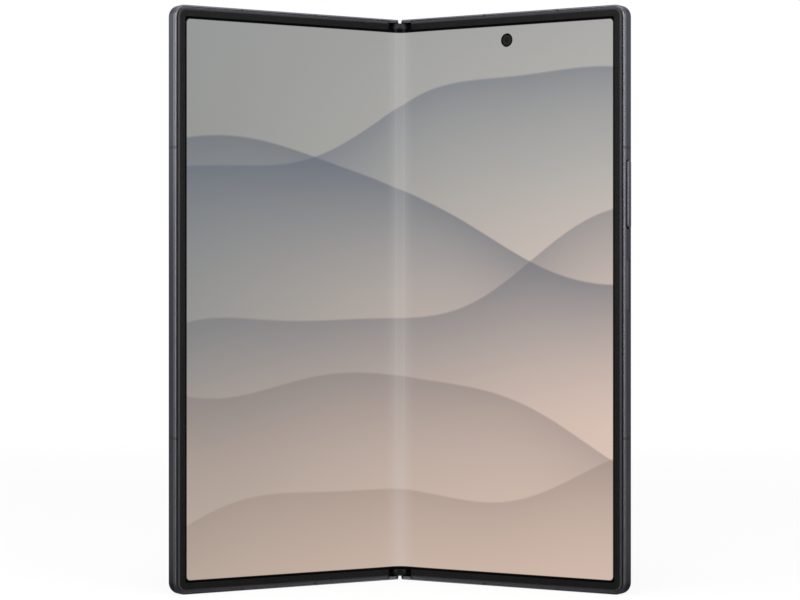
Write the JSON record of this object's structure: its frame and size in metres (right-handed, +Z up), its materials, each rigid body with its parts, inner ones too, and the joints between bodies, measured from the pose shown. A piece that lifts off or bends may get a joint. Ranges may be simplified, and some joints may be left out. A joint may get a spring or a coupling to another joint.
{
  "type": "foldable smartphone",
  "caption": "Book-style foldable phone standing half open: two slim halves on a geared twin-pin hinge, one bending inner display, cover glass and camera island on the backs.",
  "frame": {"origin": "on the surface the phone stands on, under the middle of its plan box", "axes": "+Z up along the fold, +X to the right seen from the inner display, +Y away from the viewer, to the back"},
  "size_m": [0.1244, 0.0412, 0.1584],
  "materials": {
    "frame_metal": "anodised aluminium, fine satin",
    "hinge_steel": "machined and bead blasted",
    "bright_steel": "polished",
    "cap_plastic": "fine satin moulding",
    "inner_display": "lit display under a glossy film",
    "plate_steel": "rolled sheet",
    "flex_film": "amber film",
    "bezel_plastic": "soft black rim",
    "cover_glass": "polished dark glass",
    "cover_panel": "display switched off",
    "camera_black": "black lens barrel",
    "battery_foil": "foil pouch",
    "circuit_board": "solder mask",
    "module_plastic": "moulded",
    "module_metal": "stamped",
    "tray_metal": "anodised to match the frame",
    "break_plastic": "moulded into the frame",
    "magnet_metal": "nickel plated",
    "rear_glass": "etched matt glass",
    "island_glass": "dark polished glass",
    "ring_metal": "turned and anodised",
    "lens_glass": "coated lens glass",
    "flash_lens": "frosted window",
    "coil_copper": "wound copper",
    "port_metal": "stamped shell",
    "key_metal": "anodised to match the frame"
  },
  "bodies": {
    "spine": {"hinge_spine_cover": "frame_metal", "hinge_base_upper": "hinge_steel", "hinge_base_centre": "hinge_steel", "hinge_base_lower": "hinge_steel", "hinge_pins": "bright_steel", "hinge_end_cap_top": "cap_plastic", "hinge_end_cap_bottom": "cap_plastic", "torque_springs": "bright_steel", "cam_followers": "hinge_steel", "idler_pins": "bright_steel", "display_fold": "inner_display", "fold_lattice": "plate_steel", "hinge_flex_cables": "flex_film"},
    "left_idler": {"left_idler_gear": "hinge_steel"},
    "right_idler": {"right_idler_gear": "hinge_steel"},
    "left_half": {"left_frame": "frame_metal", "left_bezel": "bezel_plastic", "left_display_panel": "inner_display", "left_support_plate": "plate_steel", "cover_glass": "cover_glass", "cover_display_panel": "cover_panel", "cover_camera": "camera_black", "left_battery": "battery_foil", "sub_board": "circuit_board", "earpiece_speaker": "module_plastic", "vibration_motor": "module_metal", "sim_reader": "module_metal", "left_gear_arm": "hinge_steel", "left_pivot_arms": "hinge_steel", "left_hinge_screws": "bright_steel", "left_antenna_breaks": "break_plastic", "left_magnets": "magnet_metal"},
    "card_tray": {"sim_tray": "tray_metal"},
    "left_wing": {"left_wing_plate": "plate_steel"},
    "right_half": {"right_frame": "frame_metal", "right_bezel": "bezel_plastic", "right_display_panel": "inner_display", "right_support_plate": "plate_steel", "inner_camera": "camera_black", "rear_glass": "rear_glass", "camera_island": "island_glass", "camera_rings": "ring_metal", "camera_lenses": "lens_glass", "rear_camera_modules": "camera_black", "flash_led": "flash_lens", "main_board": "circuit_board", "right_battery": "battery_foil", "charging_coil": "coil_copper", "charging_board": "circuit_board", "usb_port": "port_metal", "bottom_speaker": "module_plastic", "key_switches": "module_metal", "right_gear_arm": "hinge_steel", "right_pivot_arms": "hinge_steel", "right_hinge_screws": "bright_steel", "right_antenna_breaks": "break_plastic", "right_magnets": "magnet_metal"},
    "right_wing": {"right_wing_plate": "plate_steel"},
    "power_key": {"power_key": "key_metal"},
    "volume_rocker": {"volume_rocker": "key_metal"}
  },
  "joints": [
    {"name": "right_fold", "type": "hinge", "parent": "spine", "child": "right_half", "pos_m": [0.00185, 0.01746, 0.0792], "axis": [0, 0, -1], "range_deg": [-32, 58], "deforming": ["display_fold", "fold_lattice", "hinge_flex_cables"]},
    {"name": "left_fold", "type": "hinge", "parent": "spine", "child": "left_half", "pos_m": [-0.00185, 0.01746, 0.0792], "axis": [0, 0, 1], "range_deg": [-32, 58], "deforming": ["display_fold", "fold_lattice", "hinge_flex_cables"]},
    {"name": "right_idler_turn", "type": "hinge", "parent": "spine", "child": "right_idler", "pos_m": [0.00064, 0.01808, 0.0792], "axis": [0, 0, 1], "range_deg": [-36, 65.25]},
    {"name": "left_idler_turn", "type": "hinge", "parent": "spine", "child": "left_idler", "pos_m": [-0.00064, 0.01808, 0.0792], "axis": [0, 0, -1], "range_deg": [-36, 65.25]},
    {"name": "right_wing_tilt", "type": "hinge", "parent": "right_half", "child": "right_wing", "pos_m": [0.00784, 0.01289, 0.0792], "axis": [0, 0, -1], "range_deg": [-1.78, 3.22]},
    {"name": "left_wing_tilt", "type": "hinge", "parent": "left_half", "child": "left_wing", "pos_m": [-0.00784, 0.01289, 0.0792], "axis": [0, 0, 1], "range_deg": [-1.78, 3.22]},
    {"name": "power_press", "type": "slide", "parent": "right_half", "child": "power_key", "axis": [-0.848, 0.5299, 0], "range_m": [0, 0.0002], "stiffness_N_per_m": 6000, "springref_m": -0.0001},
    {"name": "volume_rock", "type": "hinge", "parent": "right_half", "child": "volume_rocker", "pos_m": [0.06084, -0.01863, 0.1075], "axis": [0.5299, 0.848, 0], "range_deg": [-1.2, 1.2], "stiffness_Nm_per_rad": 2},
    {"name": "tray_pull", "type": "slide", "parent": "left_half", "child": "card_tray", "axis": [0, 0, -1], "range_m": [0, 0.022]}
  ],
  "couplings": [
    {"joint": "left_fold", "follows": "right_fold", "ratio": 1},
    {"joint": "right_idler_turn", "follows": "right_fold", "ratio": 1.125},
    {"joint": "left_idler_turn", "follows": "right_fold", "ratio": 1.125},
    {"joint": "right_wing_tilt", "follows": "right_fold", "ratio": 0.055556},
    {"joint": "left_wing_tilt", "follows": "right_fold", "ratio": 0.055556}
  ]
}
